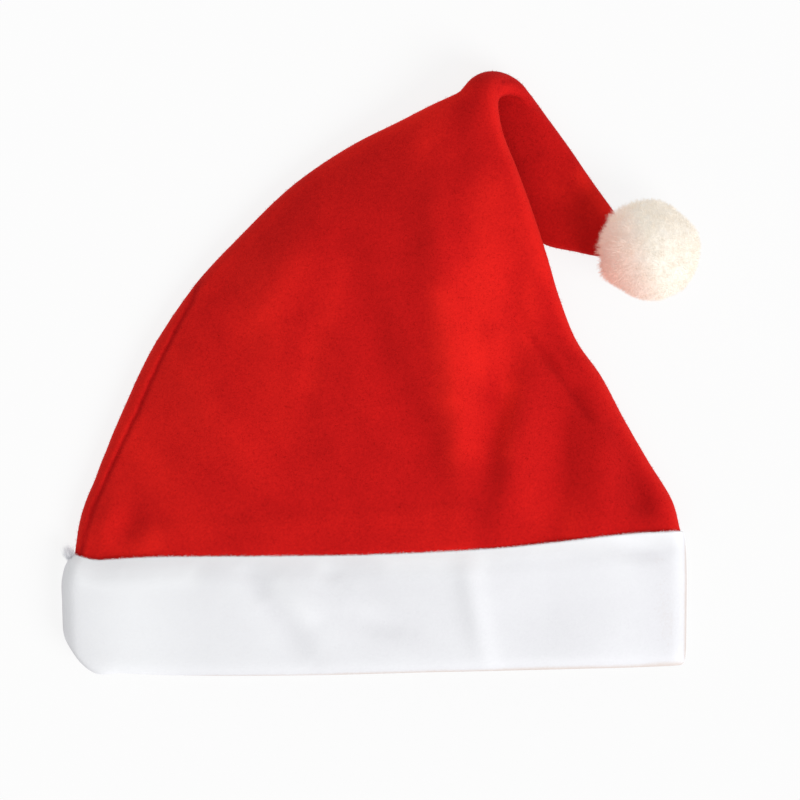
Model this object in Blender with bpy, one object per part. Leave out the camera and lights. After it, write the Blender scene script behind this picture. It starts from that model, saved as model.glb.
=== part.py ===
"""Santa hat lying flat on its back: a red fleece crown, a white turned-up band and a pompom.

Metres, +Z up. The hat rests on the plane z = 0. +X runs along the band to the right, +Y from the
open mouth to the folded top, and the origin is under the middle of the whole hat.
"""
import math
from collections import namedtuple

import bmesh
import bpy
import numpy as np
from mathutils import Vector

MM = 0.001

# Cloth: one layer of fleece in the crown, a doubled and turned one in the band
CROWN_WALL = 2.0 * MM
BAND_WALL = 5.5 * MM
PIECE_GAP = 0.4 * MM

# The crown's underside lies in very shallow waves
UNDERSIDE_LIFT = 0.12 * MM
UNDERSIDE_WAVE = 0.10 * MM
WAVE_LENGTH_X = 26.0 * MM
WAVE_LENGTH_Y = 31.0 * MM

# Rounding where the front sheet turns into the back sheet. It grows tighter while the tube turns
# from the body into the tail, between the two given turns in degrees.
BODY_EDGE = 4.5 * MM
TAIL_EDGE = 3.6 * MM
TAIL_BEGINS = 5.0
TAIL_REACHED = 85.0
BAND_TOP_EDGE = 5.9 * MM
BAND_HEM_EDGE = 7.1 * MM
BAND_EDGE_DEPTH = 0.2

# Folds die out this near the rounded edges, and towards both ends of their line
FOLD_CLEAR = 12.0 * MM
FOLD_END_SHARE = 0.35
BAND_FOLD_DEPTH = 0.16

# Pompom
POMPOM_RADIUS = 23.6 * MM
POMPOM_CENTRE = Vector((124.6, 56.1, 23.6)) * MM
LOCK_VALLEY = 0.80
LOCK_SHOULDER = 0.925
LOCK_SHOULDER_WIDTH = 0.80
LOCK_LENGTH_SPREAD = 0.035
LOCK_LENGTH_STEP = 2.4
LOCK_LEAN = 0.05
LOCK_LEAN_STEP = 1.7
TAIL_CLEARANCE = 0.5 * MM
CUTTER_FROM_X = 98.0

# How far up the body the bend of the seam line dies out
SEAM_BEND_REACH = 60.0 * MM

# Mesh density
RING_STEP = 8.6 * MM
RING_TURN = math.radians(18.0)
EDGE_STEPS = 3
FRONT_STEPS = 14
BACK_STEPS = 10
BAND_EDGE_STEPS = 3
BAND_FRONT_STEPS = 22
BAND_BACK_STEPS = 12

# Side seam, sewn a few millimetres inside the left edge of the front sheet
SEAM_DEPTH = 1.0 * MM
SEAM_WIDTH = 2.2 * MM
SEAM_SETBACK = ((-84, 5.0), (-60, 6.6), (-30, 5.8), (0, 4.6), (25, 3.0), (41, 0.0))

# The crown as a flattened tube, from the seam with the band, up the body, over the fold and down
# the tail to its tip. Each row gives, in millimetres, the left and right edge of the flat tube, how
# far the front and back sheets stand off the line between them and how far that line bows outward.
# Turn is how far the tube has folded over backward, in degrees.
Section = namedtuple(
    "Section", "left_x left_y left_z right_x right_y right_z front back bow turn")
CROWN_SECTIONS = [
    Section(-142.4, -84.0, 5.9, 139.2, -73.2, 5.9, 26.0, 4.5, 0.0, 0),
    Section(-139.4, -65.5, 5.0, 135.4, -59.4, 5.0, 27.5, 4.7, 0.0, 0),
    Section(-131.8, -45.5, 4.6, 124.6, -41.8, 4.6, 28.0, 4.5, 0.0, 0),
    Section(-120.6, -19.0, 4.6, 113.2, -22.3, 4.6, 27.5, 4.5, 0.0, 0),
    Section(-104.9, 13.5, 4.6, 102.0, -1.4, 4.8, 26.0, 4.5, 0.0, 0),
    Section(-86.0, 41.2, 4.6, 90.6, 15.0, 6.0, 24.0, 4.5, 0.0, 0),
    Section(-65.4, 63.4, 4.6, 83.0, 34.0, 10.0, 21.5, 4.5, 0.0, 0),
    Section(-38.8, 88.6, 4.8, 76.4, 55.5, 17.5, 17.0, 4.4, 0.0, 0),
    Section(-13.8, 105.2, 6.5, 70.2, 74.2, 19.5, 13.5, 4.3, 0.0, 0),
    Section(8.8, 116.4, 10.0, 63.1, 93.7, 20.5, 10.5, 4.3, 0.0, 2),
    Section(25.5, 124.6, 13.5, 56.6, 110.2, 21.5, 8.5, 4.3, 0.0, 5),
    Section(34.4, 128.0, 16.0, 54.4, 121.0, 22.5, 7.5, 4.3, 0.5, 14),
    Section(37.2, 128.4, 16.5, 54.8, 127.0, 22.0, 6.6, 4.3, 2.2, 38),
    Section(38.8, 128.4, 15.0, 59.2, 129.8, 18.5, 5.4, 4.2, 4.6, 65),
    Section(39.6, 127.8, 12.3, 66.2, 129.2, 13.0, 4.8, 4.2, 6.0, 90),
    Section(40.4, 126.2, 9.6, 70.8, 125.0, 9.2, 4.8, 4.2, 5.4, 118),
    Section(41.2, 122.6, 7.4, 74.2, 120.8, 7.2, 5.0, 4.4, 3.2, 150),
    Section(42.4, 116.6, 5.9, 78.0, 115.4, 5.9, 5.0, 4.7, 1.0, 174),
    Section(46.2, 102.0, 5.3, 85.2, 104.6, 5.3, 5.0, 5.2, 0.0, 180),
    Section(56.5, 80.5, 5.4, 97.2, 90.0, 5.4, 5.0, 5.4, 0.0, 180),
    Section(76.1, 59.2, 6.3, 105.5, 78.4, 6.3, 5.0, 5.4, 0.0, 180),
    Section(90.5, 57.3, 9.0, 110.0, 72.0, 9.4, 4.8, 4.9, 0.0, 180),
    Section(101.6, 53.6, 13.2, 114.6, 66.0, 13.6, 4.4, 4.4, 0.0, 180),
    Section(110.4, 54.2, 18.2, 118.6, 61.4, 18.4, 3.8, 3.8, 0.0, 180),
]

# Folds of the front sheet, in millimetres: a soft ridge where height is positive, a valley where it
# is negative, along the line from (x0, y0) to (x1, y1).
Fold = namedtuple("Fold", "x0 y0 x1 y1 width height")
CROWN_FOLDS = [
    Fold(27, 86, 40, -50, 10, 4.0),
    Fold(62, 36, 44, -52, 10, -3.2),
    Fold(67, -6, 55, -66, 8, 2.6),
    Fold(82, -10, 80, -72, 8, -3.4),
    Fold(104, -12, 102, -68, 8, 2.2),
    Fold(117, -50, 123, -66, 7, -2.0),
    Fold(-17, 58, 9, -13, 10, -3.0),
    Fold(9, -13, 28, -50, 9, -3.0),
    Fold(-58, 26, -34, 62, 13, 2.8),
    Fold(-98, 8, -54, -46, 10, 2.6),
    Fold(-78, 14, -36, -34, 10, -1.4),
    Fold(-112, -60, -122, -80, 6, -1.6),
]
BAND_FOLDS = [
    Fold(-62, -86, -50, -109, 7, -2.4),
    Fold(-50, -109, -30, -130, 7, -2.6),
    Fold(-46, -92, -25, -115, 8, 2.2),
    Fold(-28, -86, -19, -97, 6, -1.0),
    Fold(-11, -112, 12, -120, 6, -1.2),
    Fold(38, -84, 49, -134, 8, 2.0),
    Fold(80, -84, 78, -132, 24, -2.0),
    Fold(104, -78, 128, -86, 6, -1.4),
]

# The lines that the band follows, as (x, y) in millimetres: the sewn seam and the turned hem.
SEAM_LINE = (
    (-149, -85.4), (-140, -86.0), (-130, -87.0), (-116, -86.4), (-61, -85.3), (-14, -84.8),
    (20, -83.5), (55, -81.5), (90, -77.9), (113, -75.3), (139, -74.0), (145, -73.8))
HEM_LINE = (
    (-149, -122.0), (-147, -124.4), (-144.2, -128.4), (-140.4, -133.6), (-134.6, -138.6),
    (-120, -139.4), (-37, -140.0), (20, -138.6), (88, -137.3), (130, -136.4), (145, -135.8))

# The band's swell from the seam, depth 0, to the hem, depth 1, in millimetres.
Swell = namedtuple("Swell", "depth left_x right_x front")
BAND_SWELL = [
    Swell(0.00, -143.2, 140.6, 27.6),
    Swell(0.10, -146.0, 141.4, 29.4),
    Swell(0.28, -148.1, 141.9, 30.6),
    Swell(0.60, -148.2, 141.9, 31.4),
    Swell(1.00, -147.6, 141.5, 31.8),
]
# Once round the doubled wall of the band: depth from seam to hem, and inset as a share of the wall.
WallPoint = namedtuple("WallPoint", "depth inset")
BAND_WALL_LOOP = [
    WallPoint(0.000, 0.18), WallPoint(0.025, 0.05), WallPoint(0.100, 0.00),
    WallPoint(0.260, 0.00), WallPoint(0.420, 0.00), WallPoint(0.580, 0.00),
    WallPoint(0.740, 0.00), WallPoint(0.900, 0.00), WallPoint(0.975, 0.13),
    WallPoint(1.000, 0.40), WallPoint(0.990, 0.73), WallPoint(0.940, 0.96),
    WallPoint(0.820, 1.00), WallPoint(0.460, 1.00), WallPoint(0.140, 1.00),
    WallPoint(0.030, 0.95), WallPoint(0.000, 0.82),
]


def clear_scene():
    for item in list(bpy.data.objects):
        bpy.data.objects.remove(item, do_unlink=True)


def make_material(name, colour, roughness, sheen):
    """A matt fleece."""
    material = bpy.data.materials.new(name)
    material.use_nodes = True
    shader = material.node_tree.nodes["Principled BSDF"]
    shader.inputs["Base Color"].default_value = (*colour, 1.0)
    shader.inputs["Roughness"].default_value = roughness
    shader.inputs["Metallic"].default_value = 0.0
    shader.inputs["Sheen Weight"].default_value = sheen
    material.diffuse_color = (*colour, 1.0)
    return material


def smooth_rows(rows, positions, where):
    """Reads a smooth curve through the rows, which lie at the given positions."""
    rows = np.asarray(rows, float)
    positions = np.asarray(positions, float)
    slopes = np.gradient(rows, positions, axis=0)
    index = np.clip(np.searchsorted(positions, where, side="right") - 1, 0, len(positions) - 2)
    span = positions[index + 1] - positions[index]
    t = ((where - positions[index]) / span)[:, None]
    span = span[:, None]
    return (
        (2 * t**3 - 3 * t**2 + 1) * rows[index]
        + (t**3 - 2 * t**2 + t) * span * slopes[index]
        + (3 * t**2 - 2 * t**3) * rows[index + 1]
        + (t**3 - t**2) * span * slopes[index + 1])


def read_line(line, x):
    """Height y at x of a line given in millimetres."""
    return float(np.interp(x / MM, [p[0] for p in line], [p[1] for p in line])) * MM


def fold_height(folds, x, y):
    """What the folds add at a place of the front sheet."""
    total = 0.0
    for fold in folds:
        start = Vector((fold.x0, fold.y0)) * MM
        along = Vector((fold.x1, fold.y1)) * MM - start
        place = Vector((x, y)) - start
        t = min(max(place.dot(along) / along.length_squared, 0.0), 1.0)
        distance = (place - along * t).length / (fold.width * MM)
        fading = FOLD_END_SHARE + (1 - FOLD_END_SHARE) * math.sin(math.pi * t)
        total += fold.height * MM * fading * math.exp(-distance * distance)
    return total


def fold_room(half, x):
    """From 0 at the rounded edges of a flat tube to 1 where folds have their full height."""
    return min(max((half - abs(x)) / FOLD_CLEAR, 0.0), 1.0)


def tube_columns(half, front, back, edge, edge_steps, front_steps, back_steps):
    """The section of a flattened tube, from its right edge over the front and back underneath."""
    flat = half - edge

    def height(x, rounding, full):
        return edge * rounding + (full - edge) * (1 - (x / half) ** 2)

    points = []
    for side, full, steps in ((1, front, front_steps), (-1, back, back_steps)):
        for i in range(edge_steps):
            angle = 0.5 * math.pi * i / edge_steps
            x = flat + edge * math.cos(angle)
            points.append((side * x, side * height(x, math.sin(angle), full)))
        for i in range(steps + 1):
            x = flat * (1 - 2 * i / steps)
            points.append((side * x, side * height(x, 1.0, full)))
        for i in range(edge_steps - 1, 0, -1):
            angle = 0.5 * math.pi * i / edge_steps
            x = flat + edge * math.cos(angle)
            points.append((-side * x, side * height(x, math.sin(angle), full)))
    return points


def inset_loop(points, depth):
    """Moves a closed section outline inward by depth."""
    result = []
    for i, (x, h) in enumerate(points):
        before = points[i - 1]
        after = points[(i + 1) % len(points)]
        along = Vector((after[0] - before[0], after[1] - before[1])).normalized()
        result.append((x - along.y * depth, h + along.x * depth))
    return result


def loft(mesh, rings, closed=False):
    """Makes the vertices of each ring and the faces between neighbouring rings."""
    made = [[mesh.verts.new(point) for point in ring] for ring in rings]
    pairs = list(zip(made, made[1:]))
    if closed:
        pairs.append((made[-1], made[0]))
    for lower, upper in pairs:
        for i in range(len(lower)):
            j = (i + 1) % len(lower)
            mesh.faces.new((lower[i], lower[j], upper[j], upper[i]))
    return made


def cap(mesh, ring):
    """Closes an end with a fan round its middle."""
    middle = sum((v.co for v in ring), Vector()) / len(ring)
    centre = mesh.verts.new(middle)
    for i in range(len(ring)):
        mesh.faces.new((ring[i], ring[(i + 1) % len(ring)], centre))


def make_object(name, mesh, material):
    bmesh.ops.recalc_face_normals(mesh, faces=mesh.faces)
    data = bpy.data.meshes.new(name)
    mesh.to_mesh(data)
    mesh.free()
    data.materials.append(material)
    data.shade_smooth()
    made = bpy.data.objects.new(name, data)
    bpy.context.scene.collection.objects.link(made)
    return made


def crown_stations():
    """The crown's sections, evenly spaced by length and by how far the tube turns."""
    rows = np.array(CROWN_SECTIONS, float)
    middle = (rows[:, 0:3] + rows[:, 3:6]) / 2 * MM
    length = np.linalg.norm(np.diff(middle, axis=0), axis=1)
    turned = np.radians(np.abs(np.diff(rows[:, 9])))
    travel = np.concatenate(([0.0], np.cumsum(length / RING_STEP + turned / RING_TURN)))
    where = np.linspace(0.0, travel[-1], int(round(travel[-1])) + 1)
    return [Section(*row) for row in smooth_rows(rows, travel, where)]


def seam_groove(section, x, y, half):
    """How deep the side seam sinks into the front sheet."""
    setback = np.interp(y / MM, [p[0] for p in SEAM_SETBACK], [p[1] for p in SEAM_SETBACK]) * MM
    if setback <= 0.0 or section.turn > 1.0:
        return 0.0
    distance = (x + half - setback) / SEAM_WIDTH
    return SEAM_DEPTH * math.exp(-distance * distance)


def crown_ring(section, depth, grow=0.0):
    """One ring of the crown, a given depth inside its outer surface."""
    left = Vector((section.left_x, section.left_y, section.left_z)) * MM
    right = Vector((section.right_x, section.right_y, section.right_z)) * MM
    across = (right - left).normalized()
    half = (right - left).length / 2
    outward = Vector((-across.y, across.x, 0.0)).normalized()
    upward = (Vector((0, 0, 1)) - across * across.z).normalized()
    turn = math.radians(section.turn)
    normal = upward * math.cos(turn) + outward * math.sin(turn)
    tail_share = (section.turn - TAIL_BEGINS) / (TAIL_REACHED - TAIL_BEGINS)
    tail_share = min(max(tail_share, 0.0), 1.0)
    edge = BODY_EDGE + (TAIL_EDGE - BODY_EDGE) * tail_share
    edge = min(edge, section.front * MM, section.back * MM)
    outline = tube_columns(
        half, section.front * MM, section.back * MM, edge, EDGE_STEPS, FRONT_STEPS, BACK_STEPS)

    centre = (left + right) / 2
    shaped = []
    for x, h in outline:
        place = centre + across * x
        if h > 0.0:
            room = fold_room(half, x) * (1 - tail_share)
            h += fold_height(CROWN_FOLDS, place.x, place.y) * room
            h -= seam_groove(section, x, place.y, half)
        else:
            wave = math.sin(place.x / WAVE_LENGTH_X) * math.cos(place.y / WAVE_LENGTH_Y)
            h += UNDERSIDE_LIFT + UNDERSIDE_WAVE * wave
        shaped.append((x, h))
    outer = inset_loop(shaped, depth - grow)

    ring = []
    for x, h in outer:
        bow = section.bow * MM * (1 - (x / half) ** 2)
        ring.append(centre + across * x + outward * bow + normal * h)
    return ring


def follow_seam(rings, stations):
    """Bends the lowest rings so that the first one lies on the seam line."""
    first = stations[0]
    slope = (first.right_y - first.left_y) / (first.right_x - first.left_x)
    for ring, station in zip(rings, stations):
        climbed = (station.left_y + station.right_y - first.left_y - first.right_y) / 2 * MM
        share = max(1.0 - climbed / SEAM_BEND_REACH, 0.0) ** 1.5
        for point in ring:
            straight = first.left_y * MM + slope * (point.x - first.left_x * MM)
            point.y += share * (read_line(SEAM_LINE, point.x) - straight)


def make_crown(material):
    """The hollow crown: an outer and an inner surface, joined by the rim at the seam."""
    stations = crown_stations()
    outer = [crown_ring(section, 0.0) for section in stations]
    inner = [crown_ring(section, CROWN_WALL) for section in stations[:-1]]
    follow_seam(outer, stations)
    follow_seam(inner, stations)
    mesh = bmesh.new()
    made = loft(mesh, inner[::-1] + outer)
    cap(mesh, made[0])
    cap(mesh, made[-1])
    return make_object("crown", mesh, material)


def make_tail_cutter():
    """The end of the tail, a little larger, to hollow the pompom where it is sewn on."""
    stations = [s for s in crown_stations() if s.turn > 170.0 and s.right_x > CUTTER_FROM_X]
    rings = [crown_ring(section, 0.0, TAIL_CLEARANCE) for section in stations]
    push = (rings[-1][0] - rings[-2][0]).normalized() * TAIL_CLEARANCE
    rings[-1] = [point + push for point in rings[-1]]
    mesh = bmesh.new()
    made = loft(mesh, rings)
    cap(mesh, made[0])
    cap(mesh, made[-1])
    cutter = make_object("tail_cutter", mesh, bpy.data.materials["red_fleece"])
    cutter.hide_render = True
    cutter.display_type = "WIRE"
    return cutter


def band_ring(depth, inset):
    """Once round the band at a depth from the seam and an inset into its wall."""
    table = np.array(BAND_SWELL)
    swell = Swell(depth, *[
        float(np.interp(depth, table[:, 0], table[:, column])) for column in (1, 2, 3)])
    left_x = swell.left_x * MM
    right_x = swell.right_x * MM
    half = (right_x - left_x) / 2
    middle = (right_x + left_x) / 2
    edge = BAND_TOP_EDGE + (BAND_HEM_EDGE - BAND_TOP_EDGE) * min(depth / BAND_EDGE_DEPTH, 1.0)
    outline = tube_columns(
        half, swell.front * MM, edge, edge, BAND_EDGE_STEPS, BAND_FRONT_STEPS, BAND_BACK_STEPS)
    shaped = []
    for x, h in outline:
        place_x = middle + x
        y = band_y(place_x, depth)
        if h > 0.0:
            room = fold_room(half, x) * min(depth / BAND_FOLD_DEPTH, 1.0)
            h += fold_height(BAND_FOLDS, place_x, y) * room
        shaped.append((x, h))
    ring = []
    for x, h in inset_loop(shaped, inset * BAND_WALL):
        place_x = middle + x
        ring.append(Vector((place_x, band_y(place_x, depth), h + edge)))
    return ring


def band_y(x, depth):
    top = read_line(SEAM_LINE, x) - PIECE_GAP
    return top + (read_line(HEM_LINE, x) - top) * depth


def make_band(material):
    """The doubled band: one closed wall, open at the mouth and at the seam."""
    mesh = bmesh.new()
    loft(mesh, [band_ring(point.depth, point.inset) for point in BAND_WALL_LOOP], closed=True)
    return make_object("band", mesh, material)


def make_pompom(material):
    """A ball of short locks, each a six-sided tuft, fused side by side to one head."""
    ball = bmesh.new()
    bmesh.ops.create_icosphere(ball, subdivisions=3, radius=1.0)
    ball.faces.index_update()
    mesh = bmesh.new()

    def place(direction, share):
        return mesh.verts.new(POMPOM_CENTRE + direction.normalized() * POMPOM_RADIUS * share)

    valley = [place(face.calc_center_median(), LOCK_VALLEY) for face in ball.faces]
    for number, root in enumerate(ball.verts):
        direction = root.co.normalized()
        side = direction.orthogonal().normalized()
        other = direction.cross(side)
        around = sorted(
            root.link_faces,
            key=lambda f: math.atan2(
                f.calc_center_median().dot(other), f.calc_center_median().dot(side)))
        length = 1.0 - LOCK_LENGTH_SPREAD * (0.5 + 0.5 * math.sin(number * LOCK_LENGTH_STEP))
        leaning = number * LOCK_LEAN_STEP
        lean = (side * math.cos(leaning) + other * math.sin(leaning)) * LOCK_LEAN
        tip = place(direction + lean, length)
        shoulder = []
        for face in around:
            spread = face.calc_center_median().normalized() - direction
            shoulder.append(place(direction + spread * LOCK_SHOULDER_WIDTH, LOCK_SHOULDER * length))
        base = [valley[face.index] for face in around]
        for i in range(len(around)):
            j = (i + 1) % len(around)
            mesh.faces.new((base[i], base[j], shoulder[j], shoulder[i]))
            mesh.faces.new((shoulder[i], shoulder[j], tip))
    ball.free()
    pompom = make_object("pompom", mesh, material)
    hollow = pompom.modifiers.new("tail_hollow", "BOOLEAN")
    hollow.operation = "DIFFERENCE"
    hollow.solver = "EXACT"
    hollow.object = make_tail_cutter()
    return pompom


def main():
    clear_scene()
    red = make_material("red_fleece", (0.56, 0.011, 0.009), 0.92, 0.25)
    white = make_material("white_fleece", (0.86, 0.87, 0.89), 0.95, 0.15)
    cream = make_material("cream_pile", (0.90, 0.84, 0.75), 0.98, 0.20)
    make_crown(red)
    make_band(white)
    make_pompom(cream)


main()
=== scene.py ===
import math
from collections import namedtuple

import bpy
import numpy as np
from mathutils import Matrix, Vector, noise


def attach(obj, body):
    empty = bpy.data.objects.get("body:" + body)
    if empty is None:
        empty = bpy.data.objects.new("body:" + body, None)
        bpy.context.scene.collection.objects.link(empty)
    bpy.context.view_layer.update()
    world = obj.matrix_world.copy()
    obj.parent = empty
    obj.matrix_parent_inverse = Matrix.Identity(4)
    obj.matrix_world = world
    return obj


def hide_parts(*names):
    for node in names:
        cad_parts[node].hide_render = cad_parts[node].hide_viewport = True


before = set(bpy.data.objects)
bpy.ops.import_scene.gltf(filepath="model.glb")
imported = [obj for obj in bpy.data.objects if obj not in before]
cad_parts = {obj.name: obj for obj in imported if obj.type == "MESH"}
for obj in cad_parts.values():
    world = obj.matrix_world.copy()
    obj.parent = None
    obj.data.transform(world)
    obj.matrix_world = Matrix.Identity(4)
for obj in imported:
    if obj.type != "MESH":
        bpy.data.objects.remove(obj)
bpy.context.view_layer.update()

# A red fleece hat with a white band and a pompom, lying flat on its back. Tables are in
# millimetres, everything else in metres. +X runs along the band, +Y from the mouth to the folded
# top, +Z up.
MM = 0.001

# The crown is a flattened tube, from the seam with the band, up the body, over the fold and down
# the tail. Each row gives the left and right edge of the tube, how far the front and back sheets
# stand off the line between them, how far that line bows, and how far the tube has folded over,
# in degrees.
Section = namedtuple(
    "Section", "left_x left_y left_z right_x right_y right_z front back bow turn")
CROWN_SECTIONS = [
    Section(-142.4, -84.0, 5.9, 139.2, -73.2, 5.9, 27.0, 4.5, 0.0, 0),
    Section(-139.4, -65.5, 5.0, 135.4, -59.4, 5.0, 27.5, 4.7, 0.0, 0),
    Section(-131.8, -45.5, 4.6, 124.6, -41.8, 4.6, 28.0, 4.5, 0.0, 0),
    Section(-120.6, -19.0, 4.6, 113.2, -22.3, 4.6, 27.5, 4.5, 0.0, 0),
    Section(-104.9, 13.5, 4.6, 102.0, -1.4, 4.8, 26.0, 4.5, 0.0, 0),
    Section(-86.0, 41.2, 4.6, 90.6, 15.0, 6.0, 24.0, 4.5, 0.0, 0),
    Section(-65.4, 63.4, 4.6, 83.0, 34.0, 10.0, 21.5, 4.5, 0.0, 0),
    Section(-38.8, 88.6, 4.8, 76.4, 55.5, 17.5, 17.0, 4.4, 0.0, 0),
    Section(-13.8, 105.2, 6.5, 70.2, 74.2, 19.5, 13.5, 4.3, 0.0, 0),
    Section(8.8, 116.4, 10.0, 63.1, 93.7, 20.5, 10.5, 4.3, 0.0, 2),
    Section(25.5, 124.6, 13.5, 56.6, 110.2, 21.5, 8.5, 4.3, 0.0, 5),
    Section(34.4, 128.0, 16.0, 54.4, 121.0, 22.5, 7.5, 4.3, 0.5, 14),
    Section(37.2, 128.4, 16.5, 54.8, 127.0, 22.0, 6.6, 4.3, 2.2, 38),
    Section(38.8, 128.4, 15.0, 59.2, 129.8, 18.5, 5.4, 4.2, 4.6, 65),
    Section(39.6, 127.8, 12.3, 66.2, 129.2, 13.0, 4.8, 4.2, 6.0, 90),
    Section(40.4, 126.2, 9.6, 70.8, 125.0, 9.2, 4.8, 4.2, 5.4, 118),
    Section(41.2, 122.6, 7.4, 74.8, 121.2, 7.2, 5.0, 4.4, 3.2, 150),
    Section(42.4, 116.6, 5.9, 79.0, 115.9, 5.9, 5.0, 4.7, 1.0, 174),
    Section(46.2, 102.0, 5.3, 86.8, 105.2, 5.3, 5.0, 5.2, 0.0, 180),
    Section(56.5, 80.5, 5.4, 97.2, 90.0, 5.4, 5.0, 5.4, 0.0, 180),
    Section(76.1, 59.2, 6.3, 105.5, 78.4, 6.3, 5.0, 5.4, 0.0, 180),
    Section(89.8, 55.9, 9.0, 110.0, 72.0, 9.4, 4.8, 4.9, 0.0, 180),
    Section(101.6, 53.6, 13.2, 114.6, 66.0, 13.6, 4.4, 4.4, 0.0, 180),
    Section(110.4, 54.2, 18.2, 118.6, 61.4, 18.4, 3.8, 3.8, 0.0, 180),
]
CROWN_WALL = 2.0 * MM

# The radius of the tube's rounded edges in the body and in the tail, and between which turns it
# changes from the one to the other
BODY_EDGE = 4.5 * MM
TAIL_EDGE = 3.6 * MM
TAIL_BEGINS = 5.0
TAIL_REACHED = 85.0

# Rows that have turned further than this, in degrees, count as this far above the band's seam
TURNS_OVER = 1.0
FAR_ABOVE = 1.0

# The lowest rows bend to the line of the band's seam, which fades over this height
SEAM_BEND_REACH = 60.0 * MM
SEAM_BEND_EASE = 1.5

# No cloth lies lower than this
CLOTH_FLOOR = 0.1 * MM

# Soft ridges (height above 0) and valleys (below 0) of the front sheet, from (x0, y0) to (x1, y1)
Fold = namedtuple("Fold", "x0 y0 x1 y1 width height")
CROWN_FOLDS = [
    Fold(26, 84, 30, 36, 11, 3.6),
    Fold(30, 36, 40, -50, 9, 5.2),
    Fold(60, 62, 64, 18, 9, -2.2),
    Fold(64, 18, 44, -52, 9, -4.6),
    Fold(66, -10, 57, -66, 8, 3.6),
    Fold(84, -12, 81, -74, 8, -4.2),
    Fold(104, -16, 103, -68, 8, 3.0),
    Fold(117, -50, 123, -66, 6, -2.4),
    Fold(-17, 58, 9, -13, 10, -3.4),
    Fold(9, -13, 30, -50, 9, -3.6),
    Fold(-58, 26, -34, 62, 13, 3.0),
    Fold(-98, 8, -54, -46, 10, 3.0),
    Fold(-78, 14, -36, -34, 10, -1.8),
    Fold(-30, 20, -35, -30, 5, -0.9),
    Fold(-72, 34, -58, 6, 10, -1.8),
    Fold(-112, -62, -123, -80, 6, -1.4),
    Fold(-124, -56, -130, -72, 6, 1.4),
    Fold(57, 40, 70, 14, 3, -1.2),
    Fold(70, 14, 86, -4, 2.8, -2.4),
    Fold(86, -4, 98, -22, 3, -1.6),
]
BAND_FOLDS = [
    Fold(-64, -86, -54, -106, 7, -1.5),
    Fold(-54, -106, -32, -132, 7, -1.8),
    Fold(-46, -98, -28, -117, 7, 1.2),
    Fold(-28, -86, -19, -97, 5, -1.0),
    Fold(-11, -112, 12, -120, 5, -1.2),
    Fold(38, -84, 49, -134, 6, 2.0),
    Fold(80, -84, 78, -132, 24, -2.0),
    Fold(104, -78, 128, -86, 5, -1.4),
]
# Painted highlight (above 0) and painted shade (below 0) on the nap's colour, as soft strokes along
# folds, valleys and rims
Stroke = namedtuple("Stroke", "x0 y0 x1 y1 width shade")
CROWN_STROKES = [
    Stroke(46, 78, 46, 10, 15, 0.20),
    Stroke(47, 10, 41, -46, 9, 0.10),
    Stroke(38, -52, 36, -76, 10, 0.04),
    Stroke(72, 70, 76, 50, 7, 0.26),
    Stroke(-50, 52, 10, 110, 16, 0.02),
    Stroke(-16, 54, 28, -46, 9, -0.04),
    Stroke(18, 66, 18, 30, 9, -0.04),
    Stroke(-34, 50, -60, 20, 8, 0.09),
    Stroke(-98, 6, -56, -48, 8, 0.08),
    Stroke(-104, -12, -66, -56, 8, 0.02),
    Stroke(-110, -30, -90, 10, 18, 0.08),
    Stroke(60, -22, 47, -64, 7, -0.06),
    Stroke(60, -8, 58, -36, 5, 0.20),
    Stroke(94, -12, 88, -50, 9, -0.10),
    Stroke(88, -48, 88, -78, 7, 0.08),
    Stroke(111, -27, 127, -59, 8, -0.10),
    Stroke(-61, 47, -47, -22, 14, 0.11),
    Stroke(-116, -32, -89, -64, 12, 0.11),
    Stroke(-33, -4, -19, 47, 7, 0.09),
    Stroke(27, 33, 32, -13, 7, 0.18),
    Stroke(32, -14, 33, -38, 6, 0.12),
    Stroke(41, -44, 42, -58, 6, -0.10),
    Stroke(-118, -82, -106, -76, 6, 0.20),
    Stroke(41, 122, 39, 57, 9, -0.14),
    Stroke(50, 20, 50, -13, 5, -0.10),
    Stroke(69, 38, 69, 15, 5, 0.12),
    Stroke(84, 24, 92, 6, 6, -0.10),
    Stroke(74, -28, 70, -70, 7, 0.04),
    Stroke(118, -54, 124, -62, 9, -0.12),
    Stroke(-122, -54, -130, -76, 8, 0.12),
    Stroke(84, 12, 93, -8, 7, -0.03),
    Stroke(70, 16, 97, -22, 2, -0.12),
    Stroke(36, 100, 52, 118, 7, 0.10),
    Stroke(22, 106, 29, 115, 8, 0.11),
    Stroke(-84, -24, -80, -32, 9, 0.07),
]
# The same painted highlight and shade on the back sheet, which shows where the tail has turned over
TAIL_STROKES = [
    Stroke(55, 124, 60, 96, 9, -0.14),
    Stroke(62, 92, 74, 70, 8, -0.04),
    Stroke(98, 70, 84, 62, 11, 0.02),
    Stroke(66, 120, 74, 102, 5, -0.10),
    Stroke(80, 84, 96, 76, 6, 0.08),
    Stroke(93, 91, 104, 76, 4, 0.26),
]
# A thin crease over the fold just above the tail's hollow, drawn only as a line of painted shade
FOLD_STROKES = [
    Stroke(53.8, 130.8, 56.6, 134.1, 0.8, -0.14),
    Stroke(56.6, 134.1, 60.3, 135.0, 0.8, -0.14),
    Stroke(60.3, 135.0, 65.0, 132.8, 0.8, -0.14),
]
# Painted highlight and shade on the band's front, along its creases and over its right half
BAND_STROKES = [
    Stroke(-120, -90, -115, -132, 24, 0.42),
    Stroke(-63, -88, -57, -100, 6, -0.14),
    Stroke(-50, -110, -38, -124, 6, -0.12),
    Stroke(-46, -100, -34, -114, 5, 0.12),
    Stroke(-135, -92, -92, -92, 7, 0.50),
    Stroke(5, -88, 45, -87, 6, 0.30),
    Stroke(0, -110, 130, -113, 30, -0.16),
    Stroke(40, -86, 49, -132, 6, 0.05),
    Stroke(84, -86, 80, -130, 26, -0.08),
    Stroke(132, -84, 132, -130, 12, -0.16),
    Stroke(104, -79, 128, -86, 3, -0.12),
]
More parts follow.
